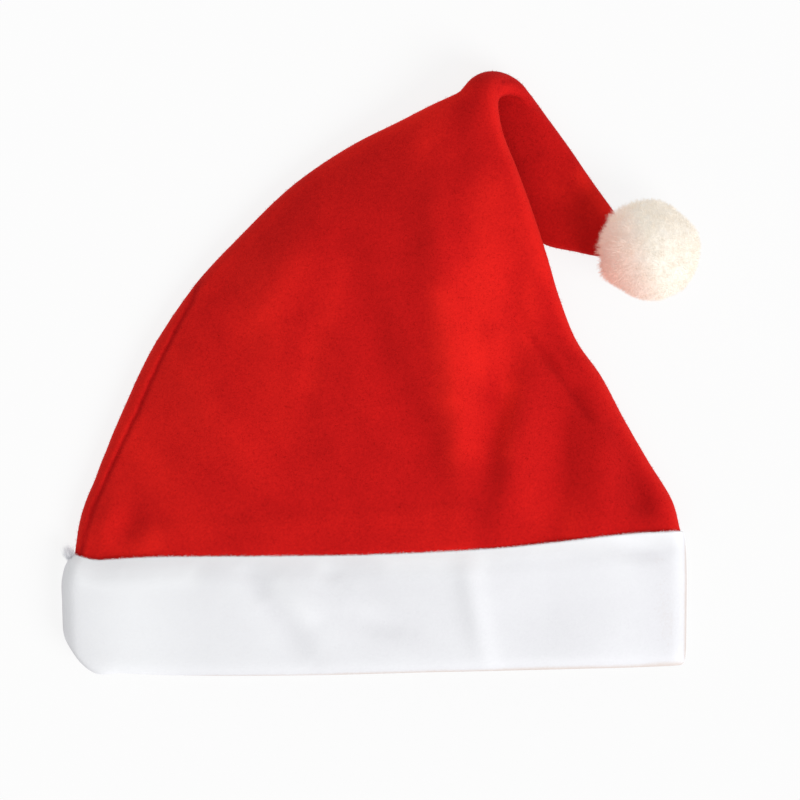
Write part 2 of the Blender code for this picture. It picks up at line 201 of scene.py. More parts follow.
# Folds grow to their full height over this distance from the tube's edges, and keep this share of
# it at their ends and beside the band
FOLD_CLEAR = 12.0 * MM
FOLD_END_SHARE = 0.35

# Soft irregular rises all over the crown
Rumple = namedtuple("Rumple", "size height seed")
CROWN_RUMPLES = (Rumple(0.026, 0.0007, 3.1), Rumple(0.010, 0.00022, 7.7))

# The sewn side seam runs this far inside the left edge of the front sheet, at each height y
SEAM_SETBACK = (
    (-84, 2.6), (-66, 4.6), (-47, 5.6), (-20, 7.4), (0, 7.2), (15, 6.2), (33, 4.0), (41, 1.5),
    (46, 0.0))
SEAM_DEPTH = 0.8 * MM
SEAM_WIDTH = 1.1 * MM
# Painted shade along the seam's groove darkens its line
SEAM_PAINTED_SHADE = 0.24
# The seam fades out where its setback is smaller than this
SEAM_FADE = 1.5 * MM
# The strip between the seam and the edge gets a faint painted highlight, from this many seam widths
# outward
STRIP_PAINTED_HIGHLIGHT = 0.02
STRIP_BEGINS = 0.5

# Painted highlight along the tube's right and left edge, and on the left twice as much at the top
RIM_PAINTED_HIGHLIGHT = 0.16
RIM_WIDTH = 5.0 * MM
LEFT_RIM_PAINTED_HIGHLIGHT = 0.16
LEFT_RIM_WIDTH = 8.0 * MM
LEFT_RIM_RISES_FROM = 0.090
LEFT_RIM_RISES_OVER = 0.025

# How the stitching draws both cloths in at the seams, and the small puckers beside it
SEAM_ROLL_DEPTH = 0.25 * MM
SEAM_ROLL_WIDTH = 1.7 * MM
SEAM_ROLL_LIMIT = 0.6
PUCKER_SIZE = 6.5 * MM
PUCKER_HEIGHT = 0.6 * MM
PUCKERS_AT_BAND = 0.5
PUCKER_REACH = 6.0 * MM
PUCKER_SHIFT = 0.4 * MM
CROWN_PUCKER_SEED = 4.2
BAND_PUCKER_SEED = 6.1
# The crown's folds are lower within this height above the band, where the seam holds the cloth
CALM_AT_BAND = 14.0 * MM

# The turned-in seam allowance above the band shows through as a low step below this line, with a
# faint painted highlight on it
ALLOWANCE_LINE = ((-116, -68.7), (-80, -66.5), (-40, -63.5), (0, -61.0), (39, -58.0), (45, -57.6))
ALLOWANCE_RISE = 0.6 * MM
ALLOWANCE_EDGE = 1.6 * MM
ALLOWANCE_PAINTED_HIGHLIGHT = 0.04
ALLOWANCE_FADE = 10.0 * MM

# The sewn seam between crown and band, and the band's turned hem
SEAM_LINE = (
    (-149, -84.2), (-144, -84.4), (-139, -86.0), (-134, -87.2), (-127, -87.2), (-116, -86.4),
    (-61, -85.3), (-14, -84.8),
    (20, -83.5), (55, -81.5), (90, -77.9), (113, -75.3), (139, -74.0), (145, -73.8))
HEM_LINE = (
    (-149, -122.0), (-147, -124.4), (-144.2, -128.4), (-140.4, -133.6), (-134.6, -138.6),
    (-120, -139.4), (-37, -140.0), (20, -138.6), (88, -137.3), (130, -136.4), (145, -135.8))
# The band from the seam (depth 0) to the hem (depth 1): its left and right edge, and how high its
# front sheet stands
Swell = namedtuple("Swell", "depth left_x right_x front")
BAND_SWELL = [
    Swell(0.00, -143.2, 140.6, 27.9),
    Swell(0.10, -146.0, 141.4, 29.4),
    Swell(0.28, -148.1, 141.9, 30.6),
    Swell(0.60, -148.2, 141.9, 31.4),
    Swell(1.00, -147.6, 141.5, 31.8),
]
# Once round the band's doubled wall, inset by a share of its thickness
WallPoint = namedtuple("WallPoint", "depth inset")
BAND_WALL_LOOP = [
    WallPoint(0.000, 0.11), WallPoint(0.020, 0.03), WallPoint(0.100, 0.00),
    WallPoint(0.260, 0.00), WallPoint(0.420, 0.00), WallPoint(0.580, 0.00),
    WallPoint(0.740, 0.00), WallPoint(0.900, 0.00), WallPoint(0.975, 0.13),
    WallPoint(1.000, 0.40), WallPoint(0.990, 0.73), WallPoint(0.940, 0.96),
    WallPoint(0.820, 1.00), WallPoint(0.460, 1.00), WallPoint(0.140, 1.00),
    WallPoint(0.030, 0.95), WallPoint(0.000, 0.82),
]
BAND_WALL = 5.5 * MM
SEWN_GAP = 0.03 * MM

# The radius of the band's rounded ends, at the seam and from this depth on
BAND_TOP_EDGE = 5.9 * MM
BAND_HEM_EDGE = 7.1 * MM
BAND_EDGE_DEPTH = 0.2
# The depths over which the folds grow to their full height and the puckers fade
BAND_FOLD_DEPTH = 0.16
BAND_PUCKER_DEPTH = 0.12
# A painted highlight on the band just below the seam, and at the ends and the hem a darker warm
# tone, partly wear and partly painted shade
BAND_TOP_PAINTED_HIGHLIGHT = 0.40
BAND_TOP_REACH = 0.09
# The ends and hem are worn and carry painted shade where the edges turn from the light
BAND_WEAR_AND_SHADE = 0.50
BAND_WEAR_AND_SHADE_EDGE = 2.6 * MM
BAND_WEAR_AND_SHADE_HEM = 0.93

# White fibres that the seam has drawn up over the crown, and a tuft at the band's left corner
FUZZ_SEED = 23
SEAM_FUZZ = 6000
SEAM_FUZZ_REACH = 0.8 * MM
SEAM_FUZZ_LENGTHS = (0.5, 1.2)
SEAM_FUZZ_BELOW = 0.8 * MM
SEAM_FUZZ_ABOVE = 0.15 * MM
SEAM_FUZZ_LEAN = (0.0, 1.0, 0.55)
SEAM_FUZZ_SPREAD = (0.5, 0.25, 0.2)
SEAM_FUZZ_SHADE = 0.05
CORNER_TUFT = np.array((-144.6, -85.6, 7.0)) * MM
TUFT_FIBRES = 700
TUFT_TIP = np.array((-1.0, 3.6, 1.0)) * MM
TUFT_LENGTHS = (0.5, 1.1)
TUFT_ROOT_SPREAD = 1.0 * MM
TUFT_TIP_SPREAD = 0.9 * MM
TUFT_SHADE = -0.06

# The pompom: a core, and a pile that grows from just inside it. How far they reach is given as
# shares of the radius.
POMPOM_SEED = 12
POMPOM_CENTRE = np.array((124.6, 56.1, 23.6)) * MM
POMPOM_RADIUS = 23.6 * MM
BALL_LUMP_SIZE = 0.55
BALL_LUMP_HEIGHT = 0.05
BALL_LUMP_SEED = 5.0
PILE_CORE = 0.93
# The core rises under each tuft and sinks between them, by the cosine of the angle to the nearest
CORE_LUMP = 0.006
CORE_LUMP_MIDDLE = 0.9965
CORE_LUMP_RANGE = 0.0035
# The fibres, how unevenly they are spread and cut, and how they bend
PILE_ROOT = 0.88
PILE_FIBRES = 32500
PILE_WIDTH = 0.16 * MM
PILE_TAPER = (1.0, 1.0, 0.7, 0.2)
PILE_STRAY = 0.012
PILE_LENGTHS = (0.93, 1.03)
PILE_BEND = 0.6 * MM
PILE_CRIMP = 0.35 * MM
# The fibres gather in tufts, which are combed this way and that
TUFTS = 420
TUFT_STRAY = 0.03
TUFT_TRIM = 0.03
TUFT_GATHERS = (0.0, 0.5)
TUFT_COMBED = 0.0315
PILE_LOOSE = 0.072
# Longer, more ragged locks lie over the end of the tail
LOCK_LENGTH = 0.13
LOCK_LENGTHS = (-0.35, 1.0)
LOCK_RAGGED = 0.05
LOCK_TURN = 165.0
LOCK_RISE = 0.25
LOCK_SPREAD = 0.55
# Where the clipped ball stands out (above 0) or is cut short (below 0): the turn and rise of each
# place in degrees, how wide it is in degrees, and how far it stands out as a share of the radius
Bulge = namedtuple("Bulge", "turn rise spread height")
POMPOM_BULGES = [
    Bulge(204, 8, 13, 0.07),
    Bulge(190, 4, 6, -0.08),
    Bulge(178, 10, 10, 0.04),
    Bulge(50, 10, 24, -0.07),
    Bulge(84, 10, 9, 0.03),
    Bulge(18, 20, 12, 0.03),
    Bulge(305, 12, 14, 0.03),
    Bulge(232, 10, 12, -0.03),
    Bulge(120, 60, 25, -0.03),
]

# How flat the sheets lie in their middle: 2 is an even arch, more is flatter with steeper flanks
FLATNESS = 2.4

# The loose cloth settles lower than its pattern where a sheet stands high
SETTLING = 0.08
SETTLES_FROM = 10.0 * MM
SETTLES_FULLY = 22.0 * MM

# The short fibres of the nap, and how much they vary in length, in how they stand and in shade
Nap = namedtuple("Nap", "fibres length seed")
RED_NAP = Nap(46000, 1.5 * MM, 21)
WHITE_NAP = Nap(42000, 2.0 * MM, 22)
NAP_WIDTH = 0.09 * MM
NAP_TAPER = (1.0, 0.8, 0.15)
NAP_LENGTHS = (0.5, 1.0)
NAP_STANDS = (0.15, 0.75)
NAP_BEND = 0.15
NAP_SHADES = 0.06

# No fibre lies lower than the floor, and how much each strip turns away from lying flat
FIBRE_FLOOR = 0.05 * MM
FIBRE_TWIST = 0.35

# Fineness of the two cloth pieces: the length and the turn between two rings, and the steps of a
# ring's rounded quarters, its front, the zone of the side seam and its back
RING_STEP = 1.9 * MM
RING_TURN = 4.5
Steps = namedtuple("Steps", "quarter front seam back")
CROWN_STEPS = Steps(5, 130, 12, 58)
BAND_STEPS = Steps(7, 200, 4, 110)
BAND_LOOP_STEPS = 64
SEAM_ZONE = 10.0 * MM
SEAM_ZONE_SHARE = 0.3
SEWN_WITHIN = 0.000002

# The colours of a fleece, from the darkest painted shade (on the white, the warm grey of its worn
# edges) to the lightest painted highlight, and how its nap shows
Finish = namedtuple("Finish", "colours sheen_tint sheen nap_scale mottle cloud fleck bump")
RED_FLEECE = Finish(
    ((0.17, 0.001, 0.002), (0.32, 0.002, 0.003), (0.52, 0.006, 0.006), (0.86, 0.017, 0.011)),
    (1.0, 0.14, 0.10), 0.16, 900.0, 0.27, 0.14, 0.06, 0.30)
WHITE_FLEECE = Finish(
    ((0.66, 0.59, 0.56), (0.76, 0.76, 0.79), (0.85, 0.855, 0.88), (0.95, 0.96, 0.98)),
    (0.95, 0.95, 1.0), 0.04, 800.0, 0.13, 0.14, 0.03, 0.14)
RAMP_OFFSET = 0.40
RAMP_STOPS = (-0.55, -0.30, 0.00, 0.50)
CLOUD_SCALE = 70.0
FLECK_SCALE = 0.62
FLECK_RANGE = (0.27, 0.40)
NAP_RELIEF = 0.0005

# The pile's two tones, a painted red reflection of the tail and where that shows, and a painted
# glow of its own
PILE_STOPS = (0.3, 0.65)
PILE_COLOURS = ((0.72, 0.66, 0.59), (0.75, 0.71, 0.66))
PAINTED_REFLECTION_COLOUR = (0.64, 0.13, 0.06)
PAINTED_REFLECTION_CENTRE = np.array((99.0, 47.0, 24.0)) * MM
PAINTED_REFLECTION_RADIUS = 35.0 * MM
PILE_PAINTED_GLOW = 0.24
PILE_PAINTED_GLOW_COLOUR = (1.0, 0.94, 0.82)

# Studio: the key light's turn from +X towards +Y and its rise above the floor, in degrees
SURROUND_STRENGTH = 0.60
KEY_STRENGTH = 2.20
KEY_SPREAD = 34.0
KEY_TURN = -38.0
KEY_RISE = 40.0
KEY_DISTANCE = 2.0
FLOOR_SIZE = 16.0
FLOOR_COLOUR = 0.12
FLOOR_GLOW = 0.85

# The camera looks straight down at this place, from far enough for the photograph's flat view
CAMERA_PLACE = (0.0088, -0.0130)
CAMERA_DISTANCE = 3.6
CAMERA_AIM_HEIGHT = 0.012
FRAME_WIDTH = 0.3712
SENSOR_WIDTH = 36.0


def deselect_all():
    bpy.ops.object.select_all(action="DESELECT")


def use(piece):
    """Makes a piece the only selected and the active one."""
    deselect_all()
    piece.select_set(True)
    bpy.context.view_layer.objects.active = piece


def apply_modifiers(piece):
    use(piece)
    for modifier in list(piece.modifiers):
        bpy.ops.object.modifier_apply(modifier=modifier.name)


def smooth_rows(rows, positions, where):
    """Reads a smooth curve through the rows, which lie at the given positions."""
    rows = np.asarray(rows, float)
    positions = np.asarray(positions, float)
    slopes = np.gradient(rows, positions, axis=0)
    index = np.clip(np.searchsorted(positions, where, side="right") - 1, 0, len(positions) - 2)
    span = positions[index + 1] - positions[index]
    t = ((where - positions[index]) / span)[..., None]
    span = span[..., None]
    return (
        (2 * t**3 - 3 * t**2 + 1) * rows[index]
        + (t**3 - 2 * t**2 + t) * span * slopes[index]
        + (3 * t**2 - 2 * t**3) * rows[index + 1]
        + (t**3 - t**2) * span * slopes[index + 1])


def read_line(line, x):
    """Height y of a line at each x."""
    table = np.array(line)
    inside = np.clip(x / MM, table[0, 0], table[-1, 0])
    return smooth_rows(table[:, 1:], table[:, 0], inside)[..., 0] * MM


def beside(mark, x, y):
    """How far along a fold or stroke each place lies, and how strongly it is felt there."""
    along = np.array((mark.x1 - mark.x0, mark.y1 - mark.y0)) * MM
    from_x = x - mark.x0 * MM
    from_y = y - mark.y0 * MM
    t = np.clip((from_x * along[0] + from_y * along[1]) / (along @ along), 0, 1)
    distance = np.hypot(from_x - along[0] * t, from_y - along[1] * t) / (mark.width * MM)
    return t, np.exp(-distance**2)


def fold_height(folds, x, y):
    """What the folds add at each place of the front sheet."""
    total = np.zeros_like(x)
    for fold in folds:
        t, strength = beside(fold, x, y)
        fading = FOLD_END_SHARE + (1 - FOLD_END_SHARE) * np.sin(math.pi * t)
        total += fold.height * MM * fading * strength
    return total


def painted_shading(strokes, x, y):
    """How much painted highlight or painted shade the strokes lay at each place of a sheet."""
    return sum(stroke.shade * beside(stroke, x, y)[1] for stroke in strokes)


def unevenness(points, size, height, seed):
    """Soft irregular rises, of a given size and height, at each point."""
    offset = Vector((seed, 2.3 * seed, 0.7 * seed))
    values = [noise.noise(Vector(point) / size + offset) for point in points.reshape(-1, 3)]
    return np.array(values).reshape(points.shape[:-1]) * height


def settled(front):
    """How high a sheet stands after its loose cloth has settled."""
    share = np.clip((front - SETTLES_FROM) / (SETTLES_FULLY - SETTLES_FROM), 0, 1)
    return front * (1 - SETTLING * share)


def flat_tube(half, front, back, edge, steps):
    """Sections of a flattened tube, one a row, from the right edge over the front and back."""
    flat = half - edge
    zone = np.minimum(SEAM_ZONE, SEAM_ZONE_SHARE * flat)
    x = []
    rounding = []
    side = []

    def shares(count):
        return np.linspace(0, 1, count + 1)[1:]

    def lay_round(angles, end, facing):
        for angle in angles:
            x.append(end * flat + end * edge * math.cos(angle))
            rounding.append(math.sin(angle))
            side.append(facing)

    def lay_flat(places, facing):
        for place in places:
            x.append(place)
            rounding.append(1)
            side.append(facing)

    rise = np.linspace(0, math.pi / 2, steps.quarter + 1)
    lay_round(rise, 1, 1)
    lay_flat([flat + (zone - 2 * flat) * share for share in shares(steps.front)], 1)
    lay_flat([-flat + zone * (1 - share) for share in shares(steps.seam)], 1)
    lay_round(rise[::-1][1:], -1, 1)
    lay_round(rise[1:], -1, -1)
    lay_flat([-flat + 2 * flat * share for share in shares(steps.back)], -1)
    lay_round(rise[::-1][1:-1], 1, -1)
    x = np.stack(x, axis=1)
    rounding = np.array(rounding)[None, :]
    side = np.array(side)[None, :]
    full = np.where(side > 0, front[:, None], back[:, None])
    edge = edge[:, None]
    height = side * (edge * rounding + (full - edge) * (1 - np.abs(x / half[:, None]) ** FLATNESS))
    return x, height, np.broadcast_to(side > 0, x.shape)


def inset_sections(x, height, depth):
    """Moves each closed section outline inward by depth."""
    along_x = np.roll(x, -1, axis=1) - np.roll(x, 1, axis=1)
    along_h = np.roll(height, -1, axis=1) - np.roll(height, 1, axis=1)
    length = np.hypot(along_x, along_h)
    return x - along_h / length * depth, height + along_x / length * depth


def fold_room(half, x):
    """From 0 at the rounded edges of a flat tube to 1 where folds have their full height."""
    return np.clip((half - np.abs(x)) / FOLD_CLEAR, 0, 1)


def lay_cloth(name, points, nap, ring_closed):
    """Lays a flat grid of cloth round the given points and sews its edges together."""
    rings, columns, _ = points.shape
    rows = rings + 1 if ring_closed else rings
    deselect_all()
    bpy.ops.mesh.primitive_grid_add(x_subdivisions=columns, y_subdivisions=rows - 1, size=1)
    piece = bpy.context.object
    piece.name = name
    piece.data.name = name
    wrapped = np.concatenate([points, points[:, :1]], axis=1)
    nap = np.concatenate([nap, nap[:, :1]], axis=1)
    if ring_closed:
        nap = np.concatenate([nap, nap[:1]], axis=0)
        wrapped = np.concatenate([wrapped, wrapped[:1]], axis=0)
    piece.data.vertices.foreach_set("co", wrapped.astype(np.float32).ravel())
    # The nap attribute holds painted highlight and painted shade, which the material reads
    piece.data.attributes.new("nap", "FLOAT", "POINT")
    piece.data.attributes["nap"].data.foreach_set("value", nap.astype(np.float32).ravel())
    piece.data.update()
    use(piece)
    bpy.ops.object.mode_set(mode="EDIT")
    bpy.ops.mesh.select_all(action="SELECT")
    bpy.ops.mesh.remove_doubles(threshold=SEWN_WITHIN)
    bpy.ops.mesh.select_all(action="SELECT")
    bpy.ops.mesh.normals_make_consistent(inside=False)
    bpy.ops.object.mode_set(mode="OBJECT")
    bpy.ops.object.shade_smooth()
    return piece


def crown_rows():
    """The crown's sections, evenly spaced by length and by how far the tube turns."""
    rows = np.array(CROWN_SECTIONS, float)
    middle = (rows[:, 0:3] + rows[:, 3:6]) / 2 * MM
    length = np.linalg.norm(np.diff(middle, axis=0), axis=1)
    turned = np.abs(np.diff(rows[:, 9]))
    travel = np.concatenate(([0.0], np.cumsum(length / RING_STEP + turned / RING_TURN)))
    where = np.linspace(0.0, travel[-1], int(round(travel[-1])) + 1)
    return smooth_rows(rows, travel, where)


def crown_points():
    """The outer surface of the crown, a ring of points for each of its rows, and the painted
    highlight and shade of its nap.
    """
    rows = crown_rows()
    left = rows[:, 0:3] * MM
    right = rows[:, 3:6] * MM
    front, back, bow = (rows[:, 6:9] * MM).T
    front = settled(front)
    turn = np.radians(rows[:, 9])
    half = np.linalg.norm(right - left, axis=1) / 2
    across = (right - left) / (2 * half)[:, None]
    outward = np.stack([-across[:, 1], across[:, 0], np.zeros(len(rows))], axis=1)
    outward /= np.linalg.norm(outward, axis=1)[:, None]
    upward = np.array((0, 0, 1)) - across * across[:, 2:3]
    upward /= np.linalg.norm(upward, axis=1)[:, None]
    normal = upward * np.cos(turn)[:, None] + outward * np.sin(turn)[:, None]
    tail_share = np.clip((rows[:, 9] - TAIL_BEGINS) / (TAIL_REACHED - TAIL_BEGINS), 0, 1)
    edge = BODY_EDGE + (TAIL_EDGE - BODY_EDGE) * tail_share
    edge = np.minimum(edge, np.minimum(front, back))
    x, height, is_front = flat_tube(half, front, back, edge, CROWN_STEPS)

    # How far each row has climbed above the first: where the tube turns over, far enough for all
    centre = (left + right) / 2
    first = CROWN_SECTIONS[0]
    climbed = (rows[:, 1] + rows[:, 4] - first.left_y - first.right_y) / 2 * MM
    climbed[rows[:, 9] > TURNS_OVER] = FAR_ABOVE
    climbed = climbed[:, None]
    seam_y, seam_inset = np.array(SEAM_SETBACK).T
    place = centre[:, None] + across[:, None] * x[..., None]
    setback = np.interp(place[..., 1] / MM, seam_y, seam_inset) * MM
    body = (1 - tail_share)[:, None]
    from_seam = x + half[:, None] - setback
    sewn = np.clip(setback / SEAM_FADE, 0, 1) * body
    at_seam = np.exp(-(from_seam / PUCKER_REACH) ** 2) * sewn
    at_band = np.exp(-climbed / PUCKER_REACH)
    puckers = unevenness(place, PUCKER_SIZE, 1.0, CROWN_PUCKER_SEED)
    x = x + PUCKER_SHIFT * puckers * np.where(x < 0, at_seam, 0)
    place = centre[:, None] + across[:, None] * x[..., None]
    room = fold_room(half[:, None], x) * body
    calm = FOLD_END_SHARE + (1 - FOLD_END_SHARE) * np.clip(climbed / CALM_AT_BAND, 0, 1)
    folds = fold_height(CROWN_FOLDS, place[..., 0], place[..., 1]) * room * calm
    groove = SEAM_DEPTH * np.exp(-(from_seam / SEAM_WIDTH) ** 2) * sewn
    below = (read_line(ALLOWANCE_LINE, place[..., 0]) - place[..., 1]) / ALLOWANCE_EDGE
    ends = np.array((ALLOWANCE_LINE[0][0], ALLOWANCE_LINE[-1][0])) * MM
    inside = np.minimum(place[..., 0] - ends[0], ends[1] - place[..., 0]) / ALLOWANCE_FADE
    allowance = (0.5 + 0.5 * np.tanh(below)) * np.clip(inside, 0, 1)
    allowance = allowance * (climbed < FAR_ABOVE)
    height = height + np.where(is_front, folds - groove + ALLOWANCE_RISE * allowance, 0)
    for rumple in CROWN_RUMPLES:
        height = height + unevenness(place, *rumple) * room
    puckered = at_seam + PUCKERS_AT_BAND * at_band
    height = height + PUCKER_HEIGHT * puckers * puckered * np.where(is_front, 1, 0)
    rolled = SEAM_ROLL_DEPTH * np.exp(-(climbed / SEAM_ROLL_WIDTH) ** 2)
    height = height - np.sign(height) * np.minimum(rolled, SEAM_ROLL_LIMIT * np.abs(height))

    bowed = bow[:, None] * (1 - (x / half[:, None]) ** 2)
    points = place + outward[:, None] * bowed[..., None] + normal[:, None] * height[..., None]

    slope = (first.right_y - first.left_y) / (first.right_x - first.left_x)
    share = np.clip(1 - climbed / SEAM_BEND_REACH, 0, 1) ** SEAM_BEND_EASE
    straight = first.left_y * MM + slope * (points[..., 0] - first.left_x * MM)
    points[..., 1] += share * (read_line(SEAM_LINE, points[..., 0]) - straight)
    points[..., 2] = np.maximum(points[..., 2], CLOTH_FLOOR)

    # The crown's nap attribute: painted highlight and shade from the strokes, a faint painted
    # highlight on the allowance step, the strip and the rims, and painted shade along the seam
    painted_shade = painted_shading(CROWN_STROKES, place[..., 0], place[..., 1])
    on_front = (painted_shade + ALLOWANCE_PAINTED_HIGHLIGHT * allowance) * room
    on_front += sewn * STRIP_PAINTED_HIGHLIGHT * np.clip(-from_seam / SEAM_WIDTH - STRIP_BEGINS, 0, 1)
    on_front -= sewn * SEAM_PAINTED_SHADE * np.exp(-(from_seam / SEAM_WIDTH) ** 2)
    on_front += body * RIM_PAINTED_HIGHLIGHT * np.exp(-((half[:, None] - x) / RIM_WIDTH) ** 2)
    left_rim = body * LEFT_RIM_PAINTED_HIGHLIGHT * np.exp(-((half[:, None] + x) / LEFT_RIM_WIDTH) ** 2)
    up_left = np.clip((place[..., 1] - LEFT_RIM_RISES_FROM) / LEFT_RIM_RISES_OVER, 0, 1)
    on_front += left_rim * (1 + up_left)
    # On the turned-over tail, painted shade in the hollow and a painted highlight on its rim; the
    # fold's crease is a line of painted shade
    on_tail = painted_shading(TAIL_STROKES, points[..., 0], points[..., 1]) * (1 - body)
    nap = np.where(is_front, on_front, on_tail)
    nap += painted_shading(FOLD_STROKES, points[..., 0], points[..., 1])
    return points, nap


def close_tip(piece, count):
    """Closes the last ring of a tube, of count points, with a fan of faces."""
    use(piece)
    vertices = piece.data.vertices
    flags = np.zeros(len(vertices), bool)
    flags[-count:] = True
    bpy.ops.object.mode_set(mode="EDIT")
    bpy.ops.mesh.select_mode(type="VERT")
    bpy.ops.mesh.select_all(action="DESELECT")
    bpy.ops.object.mode_set(mode="OBJECT")
    vertices.foreach_set("select", flags)
    bpy.ops.object.mode_set(mode="EDIT")
    bpy.ops.mesh.edge_face_add()
    bpy.ops.mesh.poke()
    bpy.ops.mesh.select_all(action="SELECT")
    bpy.ops.mesh.normals_make_consistent(inside=False)
    bpy.ops.object.mode_set(mode="OBJECT")


def make_crown(fleece):
    points, nap = crown_points()
    crown = lay_cloth("fleece_crown", points, nap, ring_closed=False)
    close_tip(crown, points.shape[1])
    wall = crown.modifiers.new("cloth_wall", "SOLIDIFY")
    wall.thickness = CROWN_WALL
    wall.offset = -1.0
    apply_modifiers(crown)
    crown.data.materials.append(fleece)
    fibres = make_nap("red_nap", points, nap, RED_NAP)
    fibres.data.materials.append(fleece)
    for piece in (crown, fibres):
        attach(piece, "root")
        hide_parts("crown")


def band_points():
    """The band's whole surface, once round its doubled wall, and the painted highlight, shade and
    wear of its nap.
    """
    loop = np.array(BAND_WALL_LOOP)
    overlap = 3
    wrapped = np.concatenate([loop[-overlap:], loop, loop[:overlap]])
    numbers = np.arange(len(wrapped)) - float(overlap)
    where = np.arange(BAND_LOOP_STEPS) * len(loop) / BAND_LOOP_STEPS
    depth, inset = smooth_rows(wrapped, numbers, where).T
    swell = np.array(BAND_SWELL)
    swollen = smooth_rows(swell[:, 1:], swell[:, 0], np.clip(depth, 0, 1)) * MM
    left_x, right_x, front = swollen.T
    half = (right_x - left_x) / 2
    middle = (right_x + left_x) / 2
    edge = BAND_TOP_EDGE + (BAND_HEM_EDGE - BAND_TOP_EDGE) * np.clip(depth / BAND_EDGE_DEPTH, 0, 1)
    x, height, is_front = flat_tube(half, settled(front), edge, edge, BAND_STEPS)
    depth = np.broadcast_to(depth[:, None], x.shape)

    def level(place_x):
        top = read_line(SEAM_LINE, place_x) - SEWN_GAP
        return top + (read_line(HEM_LINE, place_x) - top) * depth

    place_x = middle[:, None] + x
    room = fold_room(half[:, None], x) * np.clip(depth / BAND_FOLD_DEPTH, 0, 1)
    folds = fold_height(BAND_FOLDS, place_x, level(place_x)) * room
    height = height + np.where(is_front, folds, 0)
    x, height = inset_sections(x, height, inset[:, None] * BAND_WALL)
    # The band's nap attribute: painted highlight and shade from the strokes, a darker warm tone at
    # the ends and hem that is partly wear and partly painted shade, and a painted highlight below
    # the seam
    nap = np.where(is_front, painted_shading(BAND_STROKES, place_x, level(place_x)), 0)
    to_end = np.clip((np.abs(x) - half[:, None]) / BAND_WEAR_AND_SHADE_EDGE + 1, 0, 1)
    to_hem = np.clip((depth - BAND_WEAR_AND_SHADE_HEM) / (1 - BAND_WEAR_AND_SHADE_HEM), 0, 1)
    nap = nap - BAND_WEAR_AND_SHADE * np.maximum(to_end, to_hem) ** 2
    nap = nap + BAND_TOP_PAINTED_HIGHLIGHT * np.exp(-(depth / BAND_TOP_REACH) ** 2)
    flat_place = np.stack([place_x, level(place_x), np.zeros_like(x)], axis=-1)
    pucker_height = PUCKERS_AT_BAND * PUCKER_HEIGHT
    puckers = unevenness(flat_place, PUCKER_SIZE, pucker_height, BAND_PUCKER_SEED)
    height = height + np.where(is_front, puckers * np.exp(-depth / BAND_PUCKER_DEPTH) * room, 0)
    place_x = middle[:, None] + x
    return np.stack([place_x, level(place_x), height + edge[:, None]], axis=-1), nap


def band_fuzz(ring):
    """Fibres that the seam has drawn up over the crown's edge, and a tuft at the left corner."""
    random = np.random.default_rng(FUZZ_SEED)
    upper = ring[ring[:, 2] > BAND_TOP_EDGE]
    upper = upper[np.argsort(upper[:, 0])]
    place = random.uniform(upper[0, 0], upper[-1, 0], SEAM_FUZZ)
    roots = np.stack([np.interp(place, upper[:, 0], upper[:, axis]) for axis in range(3)], axis=1)
    roots[:, 1] -= random.uniform(0.0, SEAM_FUZZ_BELOW, SEAM_FUZZ)
    roots[:, 2] += SEAM_FUZZ_ABOVE
    lean = random.normal(size=(SEAM_FUZZ, 3)) * SEAM_FUZZ_SPREAD + SEAM_FUZZ_LEAN
    length = SEAM_FUZZ_REACH * random.uniform(*SEAM_FUZZ_LENGTHS, (SEAM_FUZZ, 1))
    tips = roots + lean * length
    tuft_roots = CORNER_TUFT + random.normal(scale=TUFT_ROOT_SPREAD, size=(TUFT_FIBRES, 3))
    tuft_tips = tuft_roots + TUFT_TIP * random.uniform(*TUFT_LENGTHS, (TUFT_FIBRES, 1))
    tuft_tips += random.normal(scale=TUFT_TIP_SPREAD, size=(TUFT_FIBRES, 3))
    shade = np.concatenate(
        [np.full(SEAM_FUZZ, SEAM_FUZZ_SHADE), np.full(TUFT_FIBRES, TUFT_SHADE)])
    return np.concatenate([roots, tuft_roots]), np.concatenate([tips, tuft_tips]), shade


def make_band(fleece):
    points, nap = band_points()
    band = lay_cloth("fleece_band", points, nap, ring_closed=True)
    band.data.materials.append(fleece)
    closed = np.concatenate([points, points[:1]], axis=0)
    closed_nap = np.concatenate([nap, nap[:1]], axis=0)
    fibres = make_nap("white_nap", closed, closed_nap, WHITE_NAP, band_fuzz(points[0]))
    fibres.data.materials.append(fleece)
    for piece in (band, fibres):
        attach(piece, "root")
        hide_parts("band")


def make_fibres(name, roots, tips, bend, facing, width, taper, random):
    """Many thin fibres as one mesh.

    Each is a short tapered strip from a root to a tip, bent aside and lying flat towards facing.
    """
    count = len(roots)
    levels = len(taper)
    along = tips - roots
    side = np.cross(along, facing + random.normal(scale=FIBRE_TWIST, size=(count, 3)))
    side /= np.linalg.norm(side, axis=1)[:, None]
    t = np.linspace(0, 1, levels)
    curve = roots[:, None] + along[:, None] * t[None, :, None]
    curve += bend[:, None] * np.sin(math.pi * t)[None, :, None]
    spread = width * np.array(taper)[None, :, None] * side[:, None] / 2
    points = np.stack([curve - spread, curve + spread], axis=2).reshape(-1, 3)
    points[:, 2] = np.maximum(points[:, 2], FIBRE_FLOOR)
    corner = (np.arange(count) * levels * 2)[:, None] + (np.arange(levels - 1) * 2)[None, :]
    corner = corner.reshape(-1, 1)
    faces = corner + np.array((0, 1, 3, 2))[None, :]
    mesh = bpy.data.meshes.new(name)
    mesh.vertices.add(len(points))
    mesh.vertices.foreach_set("co", points.astype(np.float32).ravel())
    mesh.loops.add(faces.size)
    mesh.loops.foreach_set("vertex_index", faces.astype(np.int32).ravel())
    mesh.polygons.add(len(faces))
    mesh.polygons.foreach_set("loop_start", np.arange(0, faces.size, 4, dtype=np.int32))
    mesh.update(calc_edges=True)
    mesh.shade_smooth()
    made = bpy.data.objects.new(name, mesh)
    bpy.context.scene.collection.objects.link(made)
    return made


